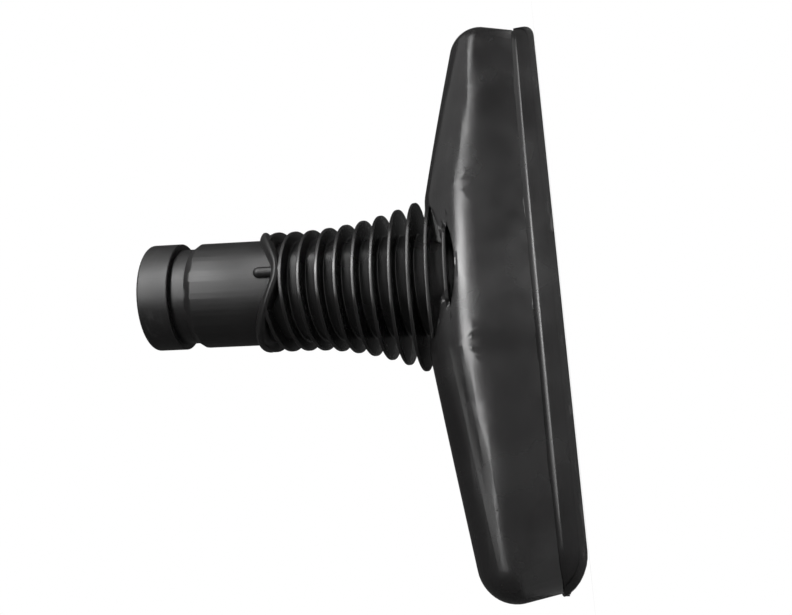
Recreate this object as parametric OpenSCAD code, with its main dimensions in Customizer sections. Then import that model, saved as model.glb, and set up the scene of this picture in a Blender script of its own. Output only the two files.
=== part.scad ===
// Wide suction nozzle for a vacuum cleaner: one plastic moulding.
// It stands on its suction mouth, which lies in the plane z = 0 with its long
// side along X. The ribbed neck leans forward, towards +Y, and ends in the cuff.

/* [Cuff] */
// Outer diameter of the end band, which pushes into the wand
cuff_d = 35; // [32:0.5:37]
// Diameter of the plain barrel
barrel_d = 34.4; // [33:0.2:36]
// Length of the end band
band_len = 9.8; // [6:0.1:14]
// Depth of the catch groove below the band
groove_depth = 1.9; // [1.2:0.1:2.2]
// Length of the floor of the catch groove
groove_len = 4.6; // [3:0.1:8]
// Length of the ramp that leads out of the groove
ramp_len = 2.5; // [1.5:0.1:5]
// Length of the barrel from the ramp to the low point of the saddle
barrel_len = 25.6; // [20:0.2:40]
// Wall left under the floor of the groove
cuff_wall = 2; // [1.6:0.1:2.4]
// Bevel at the edges of the band
edge_bevel = 0.5; // [0.2:0.1:1]
// Length of the raised key on the barrel, above the saddle
key_len = 5.5; // [3:0.5:10]
// Width of the key
key_w = 3.4; // [2:0.1:5]
// Height of the key above the barrel
key_h = 2; // [1:0.1:2.5]

/* [Collar] */
// Width of the rounded ridge along the saddle
ridge_w = 4.2; // [3:0.1:5]
// Height of the ridge above the rims of the fins
ridge_proud = 0.1; // [0.05:0.05:0.6]
// Angle at which the saddle rises to each side
saddle_rise = 26; // [12:1:30]
// Radius of the saddle at its low point
saddle_r = 8; // [4:0.5:12]
// Distance along the neck from the first fin to the low point
collar_len = 7.4; // [5:0.1:9]

/* [Neck] */
// Angle by which the neck leans forward from the head
lean = 9.5; // [0:0.5:12]
// Height of the lowest fin above the mouth
last_fin_z = 32; // [30:0.5:33]
// Number of full fins
fin_count = 10; // [8:1:11]
// Number of cut fins under the saddle
collar_fins = 2; // [1:1:2]
// Distance from fin to fin, measured upright
fin_pitch = 5.45; // [5:0.05:6]
// Thickness of a fin
fin_t = 1.2; // [0.8:0.1:1.8]
// Half-width of the top fin along the head
fin_rx = 19.5; // [19:0.1:21]
// Half-width of every fin from front to back
fin_ry = 20.8; // [20:0.1:22]
// Extra half-width along the head of the lowest fin
fin_spread = 14.4; // [8:0.2:20]
// Outer radius of the tube that carries the fins
core_r = 16.3; // [16:0.1:16.8]

/* [Head] */
// Length of the body of the head
head_len = 192; // [170:1:220]
// Thickness of the body at the neck
head_w = 49.6; // [46:0.2:52]
// Thickness of the body at its ends
head_end_w = 33; // [30:0.5:40]
// Height of the body at the neck
head_h = 40; // [38:0.5:42]
// Drop of the shoulders from the neck to each end
head_drop = 9.5; // [4:0.5:14]
// Half-length of the level stretch at the neck
level_half = 25; // [20:1:34]
// Radius of the rounded shoulders
shoulder_r = 10.5; // [8:0.5:14]
// Share to which the pockets below the lowest fins narrow at their floor
pocket_taper = 0.85; // [0.8:0.01:0.95]
// Gap between the edge of a fin and its pocket
pocket_gap = 0.3; // [0.1:0.1:0.8]
// Wall of the head
head_wall = 2.6; // [2:0.1:3]

/* [Mouth lip] */
// Length of the lip
lip_len = 190; // [170:1:220]
// Thickness of the lip in the middle
lip_w = 50.8; // [48:0.2:56]
// Thickness of the lip near its ends
lip_end_w = 34; // [32:0.5:44]
// Height of the lip
lip_h = 8; // [6.5:0.5:12]
// Radius that rounds the lip's ends, seen from the front
lip_end_r = 13.5; // [8:0.5:15]
// Bevel along the lip's upper edge
lip_bevel = 1; // [0.4:0.1:1.6]
// Wall of the lip round the mouth
lip_wall = 3; // [2:0.1:4]
// Height of the rim band round the mouth
rim_h = 2; // [1.6:0.1:4]
// Step by which the rim band stands proud
rim_step = 0.4; // [0.2:0.1:0.8]

/* [Hidden] */
$fn = 96;
outer_fn = 48;
inner_fn = 32;
end_steps = 24;
side_steps = 20;
corner_steps = 10;
fin_steps = 90;
ridge_steps = 72;
ridge_sides = 12;
far = 300;

first_fin_z = last_fin_z + (fin_count - 1) * fin_pitch;
saddle_low_s = first_fin_z / cos(lean) + collar_len;
barrel_top_s = saddle_low_s + barrel_len;
groove_s = barrel_top_s + ramp_len;
band_s = groove_s + groove_len;
cuff_end_s = band_s + band_len;

cuff_r = cuff_d / 2;
barrel_r = barrel_d / 2;
groove_r = cuff_r - groove_depth;
bore_r = groove_r - cuff_wall;
key_r = key_w / 2;
ridge_foot_r = core_r - 1;

pocket_depth = fin_pitch - fin_t;
pocket_back_y = head_w / 2 - shoulder_r / 2;
roof_z = fin_z(fin_count - 2) + fin_t - head_wall;
guard_x = fin_half_x(fin_count - 1);
slab = 0.1;

// The origin lies below the middle of the whole outline
outline_front_y = (cuff_end_s - edge_bevel) * sin(lean) + cuff_r * cos(lean);
outline_back_y = -lip_w / 2 - rim_step;
outline_middle_y = (outline_front_y + outline_back_y) / 2;

// Share of the spread that fin k has, counted from the top fin
function spread_share(k) = pow(max(k, 0) / (fin_count - 1), 2);
function fin_half_x(k) = fin_rx + fin_spread * spread_share(k);
function fin_z(k) = first_fin_z - k * fin_pitch;

// Points along an arc, with or without its two ends
function arc(centre, r, from, to, steps, ends = 1) =
    [for (i = [1 - ends : steps - 1 + ends])
        let (a = from + (to - from) * i / steps)
            centre + r * [cos(a), sin(a)]];

// Oval with round ends and bulged long sides, all arcs meeting tangentially
module oval(length, middle_w, end_w) {
    end_r = end_w / 2;
    half_w = middle_w / 2;
    centre_x = length / 2 - end_r;
    side_r = (pow(centre_x, 2) + pow(half_w, 2) - pow(end_r, 2)) / (2 * (half_w - end_r));
    turn = asin(centre_x / (side_r - end_r));
    side_y = side_r - half_w;
    polygon(concat(
        arc([centre_x, 0], end_r, turn - 90, 90 - turn, end_steps),
        arc([0, -side_y], side_r, 90 - turn, 90 + turn, side_steps, 0),
        arc([-centre_x, 0], end_r, 90 + turn, 270 - turn, end_steps),
        arc([0, side_y], side_r, 270 - turn, 270 + turn, side_steps, 0)
    ));
}

// The lip's oval, drawn in by inset
module lip_oval(inset) {
    oval(lip_len - 2 * inset, lip_w - 2 * inset, lip_end_w - 2 * inset);
}

module ellipse(half_x, half_y) {
    polygon([for (i = [1 : fin_steps])
        let (a = 360 * i / fin_steps)
            [half_x * cos(a), half_y * sin(a)]]);
}

// Moves its children onto the leaning neck axis
module on_neck_axis() {
    rotate([-lean, 0, 0]) children();
}

// Front view of the lip with round lower corners, raised by inset and drawn out from front
// to back; its bottom drops open over half_open to each side
module lip_block(inset, half_open = 0) {
    corner_r = lip_end_r - inset;
    corner_x = lip_len / 2 + 2 * rim_step - lip_end_r;
    bottom = half_open > 0
        ? [[-half_open, inset], [-half_open, -inset], [half_open, -inset], [half_open, inset]]
        : [];
    rotate([90, 0, 0])
        linear_extrude(2 * lip_w, center = true)
            polygon(concat(
                [[-corner_x - corner_r, 2 * lip_end_r]],
                arc([-corner_x, lip_end_r], corner_r, 180, 270, corner_steps),
                bottom,
                arc([corner_x, lip_end_r], corner_r, 270, 360, corner_steps),
                [[corner_x + corner_r, 2 * lip_end_r]]
            ));
}

// Lip with a bevel at the waist and a proud rim band, which follows the round corners
module lip() {
    edge_z = lip_h - lip_bevel;
    intersection() {
        lip_block(0);
        union() {
            hull() {
                linear_extrude(edge_z) lip_oval(0);
                translate([0, 0, lip_h - slab]) linear_extrude(slab) lip_oval(lip_bevel);
            }
            difference() {
                linear_extrude(edge_z - slab) lip_oval(-rim_step);
                lip_block(rim_h);
            }
        }
    }
}

// Rounded body of the head down into the lip, or the same form drawn in by inset
module body_form(inset, facets) {
    round_r = shoulder_r - inset;
    hull() {
        for (side_x = [-1, 1], side_y = [-1, 1]) {
            translate([side_x * level_half, side_y * (head_w / 2 - shoulder_r), head_h - shoulder_r])
                sphere(r = round_r, $fn = facets);
            translate([side_x * (head_len / 2 - shoulder_r),
                    side_y * (head_end_w / 2 - shoulder_r), head_h - head_drop - shoulder_r])
                sphere(r = round_r, $fn = facets);
        }
        intersection() {
            translate([0, 0, lip_h / 2]) linear_extrude(lip_bevel) lip_oval(lip_bevel + inset);
            lip_block(inset);
        }
    }
}

// One fin: an oval disc, level with the mouth and centred on the neck axis
module fin(k) {
    translate([0, fin_z(k) * tan(lean), fin_z(k)])
        linear_extrude(fin_t) ellipse(fin_half_x(k), fin_ry);
}

// Pocket below fin k in the head's shoulder, which narrows towards its floor
module fin_pocket(k) {
    translate([0, fin_z(k) * tan(lean), fin_z(k)])
        mirror([0, 0, 1])
            linear_extrude(pocket_depth, scale = pocket_taper)
                ellipse(fin_half_x(k) + pocket_gap, fin_ry + pocket_gap);
}

// Upright wedge above the saddle line, raised by lift
module above_saddle(lift) {
    reach = far / 2;
    line_r = saddle_r + max(-lift, 0);
    bend = arc([0, saddle_low_s + lift + line_r], line_r, 270 - saddle_rise, 270 + saddle_rise, corner_steps);
    out = reach * [cos(saddle_rise), sin(saddle_rise)];
    rotate([90, 0, 0])
        linear_extrude(far, center = true)
            polygon(concat(
                [bend[0] + [-out[0], out[1] + reach], bend[0] + [-out[0], out[1]]],
                bend,
                [bend[corner_steps] + out, bend[corner_steps] + [out[0], out[1] + reach]]
            ));
}

// Plain barrel, ramp, catch groove and end band
module barrel() {
    rotate_extrude()
        polygon([
            [0, saddle_low_s - ridge_w],
            [barrel_r, saddle_low_s - ridge_w],
            [barrel_r, barrel_top_s],
            [groove_r, groove_s],
            [groove_r, band_s],
            [cuff_r - edge_bevel / 2, band_s],
            [cuff_r, band_s + edge_bevel / 2],
            [cuff_r, cuff_end_s - edge_bevel],
            [cuff_r - edge_bevel, cuff_end_s],
            [0, cuff_end_s]
        ]);
}

// Height of the saddle line at a distance x from the middle plane
function saddle_s(x) =
    let (bend_x = saddle_r * sin(saddle_rise))
        abs(x) < bend_x
            ? saddle_low_s + saddle_r - sqrt(pow(saddle_r, 2) - pow(x, 2))
            : saddle_low_s + saddle_r - saddle_r * cos(saddle_rise) + (abs(x) - bend_x) * tan(saddle_rise);

// Radius of the ridge's crest at an angle round the neck
function crest_r(angle) =
    ridge_proud + norm([fin_rx * cos(angle), fin_ry * cos(lean) * sin(angle)]);

// Rounded ridge of the collar: a half-oval swept round the neck along the saddle line
module ridge() {
    count = ridge_sides + 1;
    points = [for (i = [0 : ridge_steps - 1])
        let (
            angle = 360 * i / ridge_steps,
            height = crest_r(angle) - ridge_foot_r,
            half_w = ridge_w / 2 / sqrt(1 - pow((barrel_r - ridge_foot_r) / height, 2)),
            middle_s = saddle_s(barrel_r * cos(angle)) - ridge_w / 2
        )
            for (j = [0 : ridge_sides])
                let (
                    turn = 180 * j / ridge_sides,
                    r = ridge_foot_r + height * sin(turn)
                )
                    [r * cos(angle), r * sin(angle), middle_s + half_w * cos(turn)]];
    faces = [for (i = [0 : ridge_steps - 1], j = [0 : ridge_sides])
        let (
            next_i = (i + 1) % ridge_steps,
            next_j = (j + 1) % count,
            a = i * count + j,
            b = next_i * count + j,
            c = next_i * count + next_j,
            d = i * count + next_j
        )
            for (corners = [[a, b, c], [a, c, d]]) corners];
    polyhedron(points, faces);
}

// Half-round key on the front of the barrel, with a round upper end
module key() {
    translate([0, barrel_r + key_h - key_r, saddle_low_s - ridge_w / 2])
        rotate_extrude($fn = 48)
            polygon(concat(
                [[0, 0], [key_r, 0]],
                arc([0, key_len + ridge_w / 2 - key_r], key_r, 0, 90, corner_steps)
            ));
}

module cuff() {
    on_neck_axis() {
        intersection() {
            barrel();
            above_saddle(-ridge_w / 2);
        }
        ridge();
        key();
    }
}

module neck() {
    on_neck_axis() cylinder(r = core_r, h = barrel_top_s);
    for (k = [0 : fin_count - 1]) fin(k);
    difference() {
        for (k = [1 : collar_fins]) fin(-k);
        on_neck_axis() above_saddle(-ridge_w / 2);
    }
}

module head() {
    difference() {
        body_form(0, outer_fn);
        fin_pocket(fin_count - 3);
        intersection() {
            for (k = [fin_count - 2 : fin_count - 1]) fin_pocket(k);
            translate([-far / 2, pocket_back_y, 0]) cube(far);
        }
    }
    lip();
}

// Hollow of the head, open at the mouth and kept clear of the pockets
module cavity() {
    difference() {
        body_form(head_wall, inner_fn);
        translate([-far / 2, -far / 2, roof_z]) cube(far);
        translate([-guard_x, pocket_back_y - head_wall, last_fin_z - pocket_depth - head_wall])
            cube([2 * guard_x, far, far]);
    }
    intersection() {
        translate([0, 0, -lip_h]) linear_extrude(2 * lip_h - lip_bevel / 2) lip_oval(lip_wall);
        lip_block(lip_wall, lip_len / 2 - lip_end_r - lip_wall);
    }
}

// Air duct from the cuff into the hollow, bevelled at the cuff's mouth
module duct() {
    on_neck_axis() {
        translate([0, 0, lip_h + lip_end_r]) cylinder(r = bore_r, h = cuff_end_s);
        translate([0, 0, cuff_end_s - edge_bevel])
            cylinder(r1 = bore_r, r2 = bore_r + 2 * edge_bevel, h = 2 * edge_bevel);
    }
}

module nozzle() {
    color("dimgray")
        translate([0, -outline_middle_y, 0]) difference() {
            union() {
                head();
                difference() {
                    union() {
                        neck();
                        cuff();
                    }
                    translate([-far / 2, -far / 2, lip_h - far]) cube(far);
                }
            }
            cavity();
            duct();
        }
}

nozzle();
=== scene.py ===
from math import copysign, cos, hypot, radians, sin, sqrt, tan

import bmesh
import bpy
from bpy.props import FloatProperty, FloatVectorProperty, IntProperty, PointerProperty
from mathutils import Euler, Matrix, Vector


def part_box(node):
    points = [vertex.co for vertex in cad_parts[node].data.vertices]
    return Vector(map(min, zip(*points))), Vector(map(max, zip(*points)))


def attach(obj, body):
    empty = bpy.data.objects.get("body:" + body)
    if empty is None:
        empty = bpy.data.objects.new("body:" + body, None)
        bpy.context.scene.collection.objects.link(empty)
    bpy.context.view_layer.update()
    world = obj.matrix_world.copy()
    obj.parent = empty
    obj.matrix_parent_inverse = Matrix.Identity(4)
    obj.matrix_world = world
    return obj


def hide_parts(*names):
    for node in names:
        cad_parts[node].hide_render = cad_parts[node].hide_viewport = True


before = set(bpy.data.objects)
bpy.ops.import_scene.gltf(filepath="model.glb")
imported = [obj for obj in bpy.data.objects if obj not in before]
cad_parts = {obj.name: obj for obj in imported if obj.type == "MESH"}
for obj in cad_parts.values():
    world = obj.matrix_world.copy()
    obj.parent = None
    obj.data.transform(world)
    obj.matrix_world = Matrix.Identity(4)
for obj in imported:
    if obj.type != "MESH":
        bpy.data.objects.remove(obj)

bl_info = {
    "name": "Wide suction nozzle",
    "version": (1, 0, 0),
    "blender": (4, 5, 0),
    "location": "View3D > Sidebar > Nozzle",
    "description": "Dresses the moulded nozzle and lights it on a white stage",
    "category": "Object",
}

CAD_NODE = "nozzle"
LOW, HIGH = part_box(CAD_NODE)

# Sizes of the head, in metres, which its bulged walls follow
HEAD_Y = LOW.y + 0.0258
LEVEL_HALF = 0.025
END_X = 0.0855
HEAD_DROP = 0.0095
HEAD_TOP = 0.0402
SHOULDER_Z = 0.0295
TOP_HALF = 0.0248
TOP_END_HALF = 0.0165
FOOT_Z = 0.0079
FOOT_HALF = 0.0244
FOOT_REACH = 0.078
FOOT_END_HALF = 0.01636
WALL_DEPTH = 0.0016
WAIST_Z = 0.007
POCKET_Z = 0.0272
POCKET_HALF = 0.02
SHOULDER_R = 0.0105
SHOULDER_SKIN = 0.0004
LEAN = radians(9.5)
NECK_R = 0.0172
CREASE_WIDTH = 0.002
CREASE_SKIN = 0.001
SOFT_LOW = 0.002
SOFT_HIGH = 0.010
TOP_FIN_Z = 0.08105

# A flat ring merged into one face with more corners than this is cut up again, or it would close the bore
RING_CORNERS = 40
SOFT_END_X = 0.06


# Sizes and colours that a user may change

class NozzleMoulding(bpy.types.PropertyGroup):
    edge_round: FloatProperty(
        name="Edge rounding",
        description="Width of the rounding along the moulded edges",
        default=0.0003, min=0.0, max=0.001, precision=5, subtype="DISTANCE", unit="LENGTH",
    )
    waist_round: FloatProperty(
        name="Waist rounding",
        description="Width of the rounding where the lip steps out from the head",
        default=0.0012, min=0.0, max=0.0013, precision=5, subtype="DISTANCE", unit="LENGTH",
    )
    fin_round: FloatProperty(
        name="Fin rounding",
        description="Width of the rounding along the rims of the fins",
        default=0.0003, min=0.0, max=0.00055, precision=5, subtype="DISTANCE", unit="LENGTH",
    )
    root_round: FloatProperty(
        name="Root rounding",
        description="Width of the rounding in the corners below the fins",
        default=0.0007, min=0.0, max=0.002, precision=5, subtype="DISTANCE", unit="LENGTH",
    )
    edge_angle: FloatProperty(
        name="Edge angle",
        description="Angle between two faces from which their edge is rounded",
        default=radians(32), min=radians(10), max=radians(80), subtype="ANGLE",
    )
    edge_segments: IntProperty(
        name="Edge segments",
        description="Number of strips across each rounded edge",
        default=3, min=1, max=6,
    )
    wall_step: FloatProperty(
        name="Wall step",
        description="Distance from cut to cut across the long walls of the head",
        default=0.003, min=0.001, max=0.01, subtype="DISTANCE", unit="LENGTH",
    )
    shoulder_round: FloatProperty(
        name="Shoulder rounding",
        description="Radius of the soft shoulders along the head",
        default=0.015, min=0.0105, max=0.018, precision=4, subtype="DISTANCE", unit="LENGTH",
    )


class NozzlePlastic(bpy.types.PropertyGroup):
    colour: FloatVectorProperty(
        name="Plastic colour",
        description="Colour of the dark moulded plastic",
        default=(0.0082, 0.0079, 0.0080), min=0.0, max=1.0, size=3, subtype="COLOR",
    )
    worn_colour: FloatVectorProperty(
        name="Worn colour",
        description="Colour of the plastic where it is rubbed",
        default=(0.042, 0.041, 0.041), min=0.0, max=1.0, size=3, subtype="COLOR",
    )
    dust_colour: FloatVectorProperty(
        name="Dust colour",
        description="Colour of the fine dust specks",
        default=(0.30, 0.29, 0.28), min=0.0, max=1.0, size=3, subtype="COLOR",
    )
    gloss_low: FloatProperty(
        name="Smooth roughness",
        description="Roughness where the surface is polished by handling",
        default=0.20, min=0.0, max=1.0, subtype="FACTOR",
    )
    gloss_high: FloatProperty(
        name="Satin roughness",
        description="Roughness where the surface is as moulded",
        default=0.29, min=0.0, max=1.0, subtype="FACTOR",
    )
    grain_size: FloatProperty(
        name="Grain size",
        description="Width of one grain of the moulded texture",
        default=0.00035, min=0.0001, max=0.002, subtype="DISTANCE", unit="LENGTH",
    )
    grain_height: FloatProperty(
        name="Grain height",
        description="Height of the moulded texture",
        default=0.000012, min=0.0, max=0.0001, precision=6, subtype="DISTANCE", unit="LENGTH",
    )
    parting_width: FloatProperty(
        name="Parting line width",
        description="Width of the line that the mould halves leave",
        default=0.00022, min=0.0, max=0.001, precision=5, subtype="DISTANCE", unit="LENGTH",
    )


class NozzleStudio(bpy.types.PropertyGroup):
    camera_place: FloatVectorProperty(
        name="Camera place",
        description="Where the camera stands",
        default=(0.084577, 0.211904, -0.000144), size=3, precision=6, subtype="TRANSLATION", unit="LENGTH",
    )
    camera_turn: FloatVectorProperty(
        name="Camera turn",
        description="How the camera is turned",
        default=(radians(-155.9405), radians(75.6329), radians(-85.5090)), size=3, subtype="EULER",
    )
    camera_lens: FloatProperty(
        name="Camera lens",
        description="Focal length of the camera",
        default=32.388, min=10, max=200, unit="CAMERA",
    )
    lamp_distance: FloatProperty(
        name="Lamp distance",
        description="Distance from the nozzle to the lamps",
        default=0.65, min=0.3, max=3, subtype="DISTANCE", unit="LENGTH",
    )
    key_power: FloatProperty(
        name="Key lamp power",
        description="Power of the tall lamp beside the camera",
        default=6.3, min=0, max=200, unit="POWER",
    )
    key_side: FloatProperty(
        name="Key lamp side",
        description="Angle of the tall lamp to the left of the camera",
        default=radians(41), min=0, max=radians(120), subtype="ANGLE",
    )
    key_rise: FloatProperty(
        name="Key lamp rise",
        description="Angle of the tall lamp above the camera",
        default=radians(36), min=radians(-30), max=radians(90), subtype="ANGLE",
    )
    key_lean: FloatProperty(
        name="Key lamp lean",
        description="Angle by which the tall lamp leans away from the camera",
        default=radians(17), min=0, max=radians(90), subtype="ANGLE",
    )
    foot_power: FloatProperty(
        name="Foot lamp power",
        description="Power of the wider lamp below the tall one",
        default=0.9, min=0, max=200, unit="POWER",
    )
    fill_power: FloatProperty(
        name="Fill lamp power",
        description="Power of the large lamp that lifts the shadows",
        default=0.12, min=0, max=200, unit="POWER",
    )
    rim_power: FloatProperty(
        name="Rim lamp power",
        description="Power of the large lamp above and behind the nozzle",
        default=0.6, min=0, max=200, unit="POWER",
    )
    surround: FloatProperty(
        name="Surround",
        description="Brightness of the room as the plastic reflects it",
        default=0.08, min=0, max=1, subtype="FACTOR",
    )


# Shader helpers

def new_group(name, inputs, outputs):
    tree = bpy.data.node_groups.new(name, "ShaderNodeTree")
    for label, kind, value in inputs:
        socket = tree.interface.new_socket(label, in_out="INPUT", socket_type="NodeSocket" + kind)
        if value is not None:
            socket.default_value = value
    for label, kind in outputs:
        tree.interface.new_socket(label, in_out="OUTPUT", socket_type="NodeSocket" + kind)
    return tree, tree.nodes.new("NodeGroupInput"), tree.nodes.new("NodeGroupOutput")


def add_node(tree, kind, **values):
    node = tree.nodes.new("ShaderNode" + kind)
    for key, value in values.items():
        setattr(node, key, value)
    return node


def math_node(tree, operation, first, second=None, clamp=False):
    node = add_node(tree, "Math", operation=operation, use_clamp=clamp)
    for socket, value in zip(node.inputs, (first, second)):
        if isinstance(value, bpy.types.NodeSocket):
            tree.links.new(value, socket)
        elif value is not None:
            socket.default_value = value
    return node.outputs[0]


def map_range(tree, value, low, high, out_low=0.0, out_high=1.0):
    node = add_node(tree, "MapRange", clamp=True)
    tree.links.new(value, node.inputs["Value"])
    for label, number in zip(("From Min", "From Max", "To Min", "To Max"), (low, high, out_low, out_high)):
        node.inputs[label].default_value = number
    return node.outputs["Result"]


def noise(tree, vector, scale, detail=2.0, roughness=0.5):
    node = add_node(tree, "TexNoise")
    tree.links.new(vector, node.inputs["Vector"])
    if isinstance(scale, bpy.types.NodeSocket):
        tree.links.new(scale, node.inputs["Scale"])
    else:
        node.inputs["Scale"].default_value = scale
    node.inputs["Detail"].default_value = detail
    node.inputs["Roughness"].default_value = roughness
    return node.outputs["Fac"]


def mix_colour(tree, factor, first, second):
    node = add_node(tree, "Mix", data_type="RGBA")
    for label, value in (("Factor_Float", factor), ("A_Color", first), ("B_Color", second)):
        socket = next(s for s in node.inputs if s.identifier == label)
        if isinstance(value, bpy.types.NodeSocket):
            tree.links.new(value, socket)
        else:
            socket.default_value = value
    return next(s for s in node.outputs if s.identifier == "Result_Color")


# Shared surface effects

def build_grain_group():
    """Fine eroded texture of the mould, with a slow change in how strong it is."""
    tree, source, result = new_group(
        "Moulded grain",
        [("Vector", "Vector", None), ("Size", "Float", 0.0003)],
        [("Height", "Float"), ("Patches", "Float")],
    )
    vector = source.outputs["Vector"]
    scale = math_node(tree, "DIVIDE", 1.0, source.outputs["Size"])
    fine = noise(tree, vector, scale, detail=3.0, roughness=0.6)
    patches = map_range(tree, noise(tree, vector, 55.0, detail=3.0), 0.35, 0.65)
    strength = map_range(tree, patches, 0.0, 1.0, 0.7, 1.0)
    tree.links.new(math_node(tree, "MULTIPLY", fine, strength), result.inputs["Height"])
    tree.links.new(patches, result.inputs["Patches"])
    return tree


def build_parting_group():
    """Thin raised line where the two halves of the mould met, in the plane X = 0."""
    tree, source, result = new_group(
        "Parting line",
        [("Vector", "Vector", None), ("Width", "Float", 0.0002)],
        [("Mask", "Float")],
    )
    parts = add_node(tree, "SeparateXYZ")
    tree.links.new(source.outputs["Vector"], parts.inputs[0])
    waver = noise(tree, source.outputs["Vector"], 40.0, detail=1.0)
    waver = math_node(tree, "MULTIPLY", math_node(tree, "SUBTRACT", waver, 0.5), 0.0001)
    distance = math_node(tree, "ABSOLUTE", math_node(tree, "ADD", parts.outputs["X"], waver))
    share = math_node(tree, "DIVIDE", distance, source.outputs["Width"])
    line = math_node(tree, "SUBTRACT", 1.0, share, clamp=True)
    broken = map_range(tree, noise(tree, source.outputs["Vector"], 90.0), 0.35, 0.55, 0.35, 1.0)
    tree.links.new(math_node(tree, "MULTIPLY", line, broken), result.inputs["Mask"])
    return tree


def build_dust_group():
    """Sparse light specks of dust, each smaller than a millimetre."""
    tree, source, result = new_group(
        "Dust specks",
        [("Vector", "Vector", None), ("Density", "Float", 0.5)],
        [("Mask", "Float")],
    )
    cells = add_node(tree, "TexVoronoi", feature="F1")
    cells.inputs["Scale"].default_value = 260.0
    tree.links.new(source.outputs["Vector"], cells.inputs["Vector"])
    parts = add_node(tree, "SeparateColor")
    tree.links.new(cells.outputs["Color"], parts.inputs[0])
    chosen = math_node(tree, "GREATER_THAN", parts.outputs[0], math_node(tree, "SUBTRACT", 1.0, source.outputs["Density"]))
    radius = map_range(tree, parts.outputs[1], 0.0, 1.0, 0.03, 0.085)
    dot = math_node(tree, "LESS_THAN", cells.outputs["Distance"], radius)
    tree.links.new(math_node(tree, "MULTIPLY", chosen, dot), result.inputs["Mask"])
    return tree


def build_rub_group():
    """Rubbed places: the rim that slides on the floor and the band that slides in the wand."""
    tree, source, result = new_group(
        "Rubbed places",
        [("Vector", "Vector", None), ("Band height", "Float", 0.125)],
        [("Mask", "Float")],
    )
    parts = add_node(tree, "SeparateXYZ")
    tree.links.new(source.outputs["Vector"], parts.inputs[0])
    height = parts.outputs["Z"]
    rim = map_range(tree, height, 0.0002, 0.0016, 1.0, 0.0)
    band = map_range(tree, math_node(tree, "SUBTRACT", height, source.outputs["Band height"]), 0.0, 0.002)
    stretched = add_node(tree, "Mapping")
    stretched.inputs["Scale"].default_value = (140.0, 140.0, 900.0)
    tree.links.new(source.outputs["Vector"], stretched.inputs["Vector"])
    streaks = map_range(tree, noise(tree, stretched.outputs[0], 1.0, detail=3.0), 0.56, 0.72)
    place = math_node(tree, "ADD", math_node(tree, "MULTIPLY", rim, 0.8), math_node(tree, "MULTIPLY", band, 0.35), clamp=True)
    tree.links.new(math_node(tree, "MULTIPLY", place, streaks), result.inputs["Mask"])
    return tree


def place_group(tree, group, vector, **values):
    node = add_node(tree, "Group", node_tree=group)
    tree.links.new(vector, node.inputs["Vector"])
    for label, value in values.items():
        node.inputs[label.replace("_", " ").capitalize()].default_value = value
    return node


def build_plastic():
    """Very dark satin plastic, as moulded, with its grain, parting line, rub marks and dust."""
    settings = bpy.context.scene.nozzle_plastic
    material = bpy.data.materials.new("moulded_plastic_satin")
    material.use_nodes = True
    tree = material.node_tree
    shader = tree.nodes["Principled BSDF"]
    place = add_node(tree, "TexCoord").outputs["Object"]

    grain = place_group(tree, build_grain_group(), place, size=settings.grain_size)
    parting = place_group(tree, build_parting_group(), place, width=settings.parting_width)
    dust = place_group(tree, build_dust_group(), place, density=0.012)
    rub = place_group(tree, build_rub_group(), place, band_height=HIGH.z - 0.013)

    cloudy = noise(tree, place, 28.0, detail=4.0)
    base = tuple(settings.colour) + (1.0,)
    lighter = tuple(c * 1.22 for c in settings.colour) + (1.0,)
    colour = mix_colour(tree, map_range(tree, cloudy, 0.35, 0.65), base, lighter)
    colour = mix_colour(tree, rub.outputs["Mask"], colour, tuple(settings.worn_colour) + (1.0,))
    colour = mix_colour(tree, dust.outputs["Mask"], colour, tuple(settings.dust_colour) + (1.0,))
    tree.links.new(colour, shader.inputs["Base Color"])

    satin = map_range(tree, grain.outputs["Patches"], 0.0, 1.0, settings.gloss_low, settings.gloss_high)
    height_above = add_node(tree, "SeparateXYZ")
    tree.links.new(place, height_above.inputs[0])
    handled = map_range(tree, height_above.outputs["Z"], HIGH.z - 0.060, HIGH.z - 0.036, 0.0, 0.19)
    satin = math_node(tree, "ADD", satin, handled)
    rough = math_node(tree, "ADD", satin, math_node(tree, "MULTIPLY", rub.outputs["Mask"], 0.15))
    rough = math_node(tree, "ADD", rough, math_node(tree, "MULTIPLY", dust.outputs["Mask"], 0.4), clamp=True)
    tree.links.new(rough, shader.inputs["Roughness"])

    height = math_node(tree, "MULTIPLY", grain.outputs["Height"], settings.grain_height)
    height = math_node(tree, "ADD", height, math_node(tree, "MULTIPLY", parting.outputs["Mask"], 0.000012))
    bump = add_node(tree, "Bump")
    bump.inputs["Strength"].default_value = 1.0
    bump.inputs["Distance"].default_value = 1.0
    tree.links.new(height, bump.inputs["Height"])
    tree.links.new(bump.outputs["Normal"], shader.inputs["Normal"])
    return material


# Pieces

def arc_drop(x, reach, depth):
    """How far an arc that falls by depth at reach has fallen at x."""
    radius = (reach ** 2 + depth ** 2) / (2 * depth)
    return radius - sqrt(radius ** 2 - x ** 2)


def wall_foot(x):
    """Half thickness of the head just above the lip."""
    return FOOT_HALF - arc_drop(min(abs(x), FOOT_REACH), FOOT_REACH, FOOT_HALF - FOOT_END_HALF)


def shoulder_z(x):
    """Height at which the long wall turns into the rounded shoulder."""
    slope = max(abs(x) - LEVEL_HALF, 0) / (END_X - LEVEL_HALF)
    return SHOULDER_Z - HEAD_DROP * slope


def wall_top(x):
    """Half thickness of the head at the shoulder."""
    return TOP_HALF - arc_drop(x, END_X, TOP_HALF - TOP_END_HALF)


def cad_wall_top(x):
    slope = max(abs(x) - LEVEL_HALF, 0) / (END_X - LEVEL_HALF)
    return TOP_HALF - (TOP_HALF - TOP_END_HALF) * slope


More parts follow.
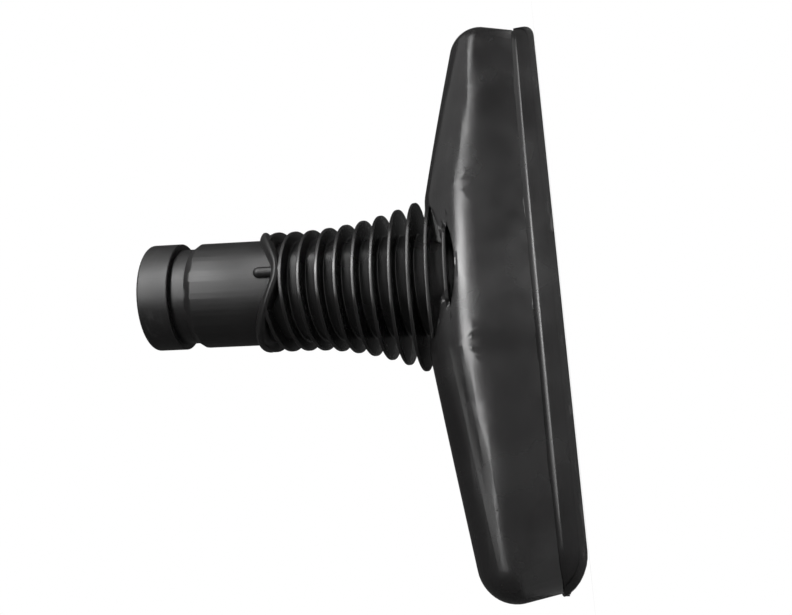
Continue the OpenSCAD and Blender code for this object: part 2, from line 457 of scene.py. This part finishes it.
def cut_across(shape, axis, places, low, high):
    """Cut the faces of the head between two heights along planes square to one axis."""
    normal = Vector((0.0, 0.0, 0.0))
    normal[axis] = 1.0
    for place in places:
        faces = [f for f in shape.faces if low < f.calc_center_median().z < high]
        edges = {e for f in faces for e in f.edges}
        verts = {v for f in faces for v in f.verts}
        bmesh.ops.bisect_plane(
            shape, geom=[*faces, *edges, *verts], dist=0.00002, plane_co=normal * place, plane_no=normal,
        )


def bulge_walls(shape, step, soft_round):
    """Give the long walls of the head their even bulge and soft shoulders, without flat facets."""
    count = int(END_X / step)
    stations = [sign * i * step for i in range(1, count + 1) for sign in (-1, 1)]
    crease = [sign * (LEVEL_HALF + shift) for sign in (-1, 1) for shift in (0, 0.001)]
    cut_across(shape, 0, stations + crease, FOOT_Z, HEAD_TOP)
    cut_across(shape, 2, [FOOT_Z + i * step for i in range(1, 8)], FOOT_Z, SHOULDER_Z)
    for vert in shape.verts:
        x, y, z = vert.co
        if abs(x) >= END_X or not FOOT_Z <= z < HEAD_TOP:
            continue
        y -= HEAD_Y
        turn_z = shoulder_z(x)
        if z > turn_z or (z > POCKET_Z and abs(x) < POCKET_HALF):
            y *= wall_top(x) / cad_wall_top(x)
            vert.co.y = HEAD_Y + soft_shoulder(x, y, z, soft_round)
            continue
        rise = (z - FOOT_Z) / (turn_z - FOOT_Z)
        wall = wall_foot(x) + (wall_top(x) - wall_foot(x)) * rise
        if abs(y) > wall - WALL_DEPTH:
            share = fade_out(abs(x), SOFT_END_X, FOOT_REACH)
            even = y + (copysign(wall, y) - y) * (share + (1 - share) * rise)
            vert.co.y = HEAD_Y + soft_shoulder(x, even, z, soft_round)


def fade_out(value, start, end):
    """One below start, nothing above end, and an even fade between them."""
    return min(max((end - value) / (end - start), 0), 1)


def soft_shoulder(x, y, z, radius):
    """Move a point of the rounded shoulder in to a larger radius and leave all other points alone."""
    side = wall_top(x)
    rise = z - shoulder_z(x)
    off_arc = abs(hypot(abs(y) - side + SHOULDER_R, max(rise, 0)) - SHOULDER_R)
    in_neck = hypot(x, y - z * tan(LEAN)) < NECK_R
    skin = CREASE_SKIN if LEVEL_HALF - 0.0001 < abs(x) < LEVEL_HALF + CREASE_WIDTH else SHOULDER_SKIN
    if off_arc > skin or abs(y) < side - SHOULDER_R - SHOULDER_SKIN or in_neck:
        return y
    new_rise = max(rise + radius - SHOULDER_R, 0)
    old_y = side - SHOULDER_R + sqrt(max(SHOULDER_R ** 2 - max(rise, 0) ** 2, 0))
    new_y = side - radius + sqrt(max(radius ** 2 - new_rise ** 2, 0))
    target = (abs(y) if rise < 0 else old_y) + new_y - old_y
    share = fade_out(abs(x), SOFT_END_X, END_X) * fade_out(rise, SOFT_LOW, SOFT_HIGH)
    return copysign(abs(y) + (target - abs(y)) * share, y)


def round_edges(shape, edges, width, segments):
    bmesh.ops.bevel(
        shape, geom=edges, offset=width, offset_type="OFFSET", segments=segments,
        profile=0.5, affect="EDGES", clamp_overlap=False, material=-1, loop_slide=True,
    )


def edges_at_height(shape, height):
    """Outer edges that lie level at one height."""
    return [
        e for e in shape.edges
        if e.is_manifold and e.is_convex and e.calc_face_angle() > radians(30)
        and all(abs(v.co.z - height) < 0.00005 for v in e.verts)
    ]


def neck_radius(point):
    """Distance of a point from the leaning axis of the neck, measured level."""
    return hypot(point.x, point.y - HEAD_Y - point.z * tan(LEAN))


def is_level(edge):
    return abs(edge.verts[0].co.z - edge.verts[1].co.z) < 0.00002


def fin_roots(shape):
    """Inner corners between the fins and the tube that carries them, above the head."""
    return [
        e for e in shape.edges
        if e.is_manifold and not e.is_convex and is_level(e) and e.calc_face_angle() > radians(60)
        and HEAD_TOP < e.verts[0].co.z < TOP_FIN_Z + 0.0001
        and all(0.0155 < neck_radius(v.co) < 0.0172 for v in e.verts)
    ]


def fin_rims(shape):
    """Outer corners of the full fins above the head."""
    return [
        e for e in shape.edges
        if e.is_manifold and e.is_convex and is_level(e) and e.calc_face_angle() > radians(60)
        and HEAD_TOP < e.verts[0].co.z < TOP_FIN_Z + 0.0015
        and all(neck_radius(v.co) > 0.0185 for v in e.verts)
    ]


def edges_with_room(shape, angle, width):
    """Sharp outer edges whose side faces are wide enough for a rounding of this width."""
    sharp = {
        e for e in shape.edges
        if e.is_manifold and e.is_convex and e.calc_face_angle() > angle
    }
    return [
        e for e in sharp
        if all(o.calc_length() > 2 * width for v in e.verts for o in v.link_edges if o not in sharp)
        and e.calc_length() > width
        and (is_level(e) or not POCKET_Z < e.verts[0].co.z < HEAD_TOP)
    ]


class NOZZLE_OT_moulding(bpy.types.Operator):
    """Copy the moulded nozzle, round its edges and give it its plastic"""
    bl_idname = "nozzle.moulding"
    bl_label = "Nozzle moulding"

    def execute(self, context):
        settings = context.scene.nozzle_moulding
        mesh = bpy.data.meshes.new("nozzle_moulding")
        shape = bmesh.new()
        shape.from_mesh(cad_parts[CAD_NODE].data)
        bmesh.ops.remove_doubles(shape, verts=shape.verts, dist=0.000004)
        bmesh.ops.dissolve_degenerate(shape, edges=shape.edges, dist=0.000002)
        bmesh.ops.dissolve_limit(
            shape, angle_limit=radians(0.6), use_dissolve_boundaries=False,
            verts=shape.verts, edges=shape.edges, delimit=set(),
        )
        rings = [f for f in shape.faces if len(f.verts) > RING_CORNERS]
        bmesh.ops.triangulate(shape, faces=rings)
        round_edges(shape, edges_at_height(shape, WAIST_Z), settings.waist_round, 6)
        round_edges(shape, fin_roots(shape), settings.root_round, 5)
        round_edges(shape, fin_rims(shape), settings.fin_round, 4)
        edges = edges_with_room(shape, settings.edge_angle, settings.edge_round)
        round_edges(shape, edges, settings.edge_round, settings.edge_segments)
        bulge_walls(shape, settings.wall_step, settings.shoulder_round)
        for face in shape.faces:
            face.smooth = True
        for edge in shape.edges:
            edge.smooth = not edge.is_manifold or edge.calc_face_angle() < settings.edge_angle
        shape.to_mesh(mesh)
        shape.free()
        piece = bpy.data.objects.new("nozzle_moulding", mesh)
        context.scene.collection.objects.link(piece)
        weighted = piece.modifiers.new("Even shading", "WEIGHTED_NORMAL")
        weighted.mode = "FACE_AREA"
        weighted.weight = 50
        weighted.keep_sharp = True
        mesh.materials.append(build_plastic())
        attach(piece, "root")
        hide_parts(CAD_NODE)
        return {"FINISHED"}


def add_lamp(name, power, side, rise, lean, width, height):
    """Rectangular lamp at an angle to the left of the camera and above it, its top leaning away."""
    studio = bpy.context.scene.nozzle_studio
    lamp = bpy.data.lights.new(name, "AREA")
    lamp.energy = power
    lamp.shape = "RECTANGLE"
    lamp.size = width
    lamp.size_y = height
    turn = Euler(studio.camera_turn).to_matrix()
    away = turn @ Vector((-cos(rise) * sin(side), sin(rise), cos(rise) * cos(side)))
    across = (turn @ Vector((0.0, cos(lean), -sin(lean)))).cross(away).normalized()
    piece = bpy.data.objects.new(name, lamp)
    piece.location = (LOW + HIGH) / 2 + away * studio.lamp_distance
    piece.rotation_euler = Matrix((across, away.cross(across), away)).transposed().to_euler()
    bpy.context.scene.collection.objects.link(piece)


def build_white_with_painted_shadow(name, bounce):
    """White to the camera with a painted contact shadow below the nozzle, made by ambient occlusion in its emitted
    colour, and a plain bounce to all else.
    """
    material = bpy.data.materials.new(name)
    material.use_nodes = True
    tree = material.node_tree
    tree.nodes.clear()
    seen = add_node(tree, "Emission")
    # Painted shadow: ambient occlusion darkens the emitted white near the nozzle
    painted_contact_shadow = add_node(tree, "AmbientOcclusion", samples=8)
    painted_contact_shadow.inputs["Distance"].default_value = 0.05
    shade = map_range(tree, painted_contact_shadow.outputs["AO"], 0.0, 1.0, 0.35, 1.0)
    tree.links.new(shade, seen.inputs["Color"])
    plain = add_node(tree, "BsdfDiffuse")
    plain.inputs["Color"].default_value = (bounce, bounce, bounce, 1.0)
    rays = add_node(tree, "LightPath")
    mix = add_node(tree, "MixShader")
    tree.links.new(rays.outputs["Is Camera Ray"], mix.inputs[0])
    tree.links.new(plain.outputs[0], mix.inputs[1])
    tree.links.new(seen.outputs[0], mix.inputs[2])
    output = add_node(tree, "OutputMaterial")
    tree.links.new(mix.outputs[0], output.inputs["Surface"])
    return material


class NOZZLE_OT_stage(bpy.types.Operator):
    """Set the camera, the lamps, the white room and the floor"""
    bl_idname = "nozzle.stage"
    bl_label = "Stage"

    def execute(self, context):
        studio = context.scene.nozzle_studio
        scene = context.scene
        scene.view_settings.view_transform = "Standard"

        lens = bpy.data.cameras.new("camera")
        lens.sensor_width = 36.0
        lens.lens = studio.camera_lens
        lens.clip_start = 0.005
        camera = bpy.data.objects.new("camera", lens)
        camera.location = studio.camera_place
        camera.rotation_euler = studio.camera_turn
        scene.collection.objects.link(camera)
        scene.camera = camera

        world = bpy.data.worlds.new("white_room")
        world.use_nodes = True
        tree = world.node_tree
        back = tree.nodes["Background"]
        level = math_node(tree, "MULTIPLY", add_node(tree, "LightPath").outputs["Is Camera Ray"], 1.0 - studio.surround)
        tree.links.new(math_node(tree, "ADD", level, studio.surround), back.inputs["Strength"])
        back.inputs["Color"].default_value = (1.0, 1.0, 1.0, 1.0)
        scene.world = world

        shape = bmesh.new()
        bmesh.ops.create_circle(shape, cap_ends=True, segments=96, radius=0.165)
        bmesh.ops.translate(shape, verts=shape.verts, vec=(0.0, 0.0, -0.0003))
        mesh = bpy.data.meshes.new("floor")
        shape.to_mesh(mesh)
        shape.free()
        floor = bpy.data.objects.new("floor", mesh)
        # The floor's white carries a painted contact shadow below the nozzle
        mesh.materials.append(build_white_with_painted_shadow("white_floor", 0.8))
        scene.collection.objects.link(floor)

        for name, share, height in (("key_core", 0.25, 0.22), ("key_middle", 0.3, 0.5), ("key_ends", 0.45, 1.2)):
            power = share * studio.key_power
            add_lamp(name, power, studio.key_side, studio.key_rise, studio.key_lean, 0.11, height)
        add_lamp("key_foot", studio.foot_power, studio.key_side, radians(8), 0.0, 0.33, 0.4)
        add_lamp("fill_lamp", studio.fill_power, radians(-15), radians(5), 0.0, 0.7, 0.7)
        add_lamp("rim_lamp", studio.rim_power, radians(92), radians(45), 0.0, 0.6, 0.6)
        return {"FINISHED"}


class NOZZLE_PT_panel(bpy.types.Panel):
    """Buttons and values of the nozzle"""
    bl_idname = "NOZZLE_PT_panel"
    bl_label = "Wide suction nozzle"
    bl_space_type = "VIEW_3D"
    bl_region_type = "UI"
    bl_category = "Nozzle"

    def draw(self, context):
        layout = self.layout
        for label, group, names in (
            ("nozzle.moulding", context.scene.nozzle_moulding, ("edge_round", "edge_angle", "edge_segments")),
            (None, context.scene.nozzle_plastic, ("colour", "worn_colour", "dust_colour", "gloss_low", "gloss_high",
                                                  "grain_size", "grain_height", "parting_width")),
            ("nozzle.stage", context.scene.nozzle_studio, ("camera_place", "camera_turn", "camera_lens", "lamp_distance",
                                                           "key_power", "fill_power", "surround")),
        ):
            for name in names:
                layout.prop(group, name)
            if label:
                layout.operator(label)


CLASSES = (
    NozzleMoulding,
    NozzlePlastic,
    NozzleStudio,
    NOZZLE_OT_moulding,
    NOZZLE_OT_stage,
    NOZZLE_PT_panel,
)


def register():
    for cls in CLASSES:
        bpy.utils.register_class(cls)
    bpy.types.Scene.nozzle_moulding = PointerProperty(type=NozzleMoulding)
    bpy.types.Scene.nozzle_plastic = PointerProperty(type=NozzlePlastic)
    bpy.types.Scene.nozzle_studio = PointerProperty(type=NozzleStudio)


def unregister():
    del bpy.types.Scene.nozzle_studio
    del bpy.types.Scene.nozzle_plastic
    del bpy.types.Scene.nozzle_moulding
    for cls in reversed(CLASSES):
        bpy.utils.unregister_class(cls)


def plain(bounds):
    return [[float(value) for value in corner] for corner in bounds]


def main():
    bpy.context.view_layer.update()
    register()
    bpy.ops.nozzle.moulding()
    bpy.ops.nozzle.stage()


if __name__ == "__main__":
    main()
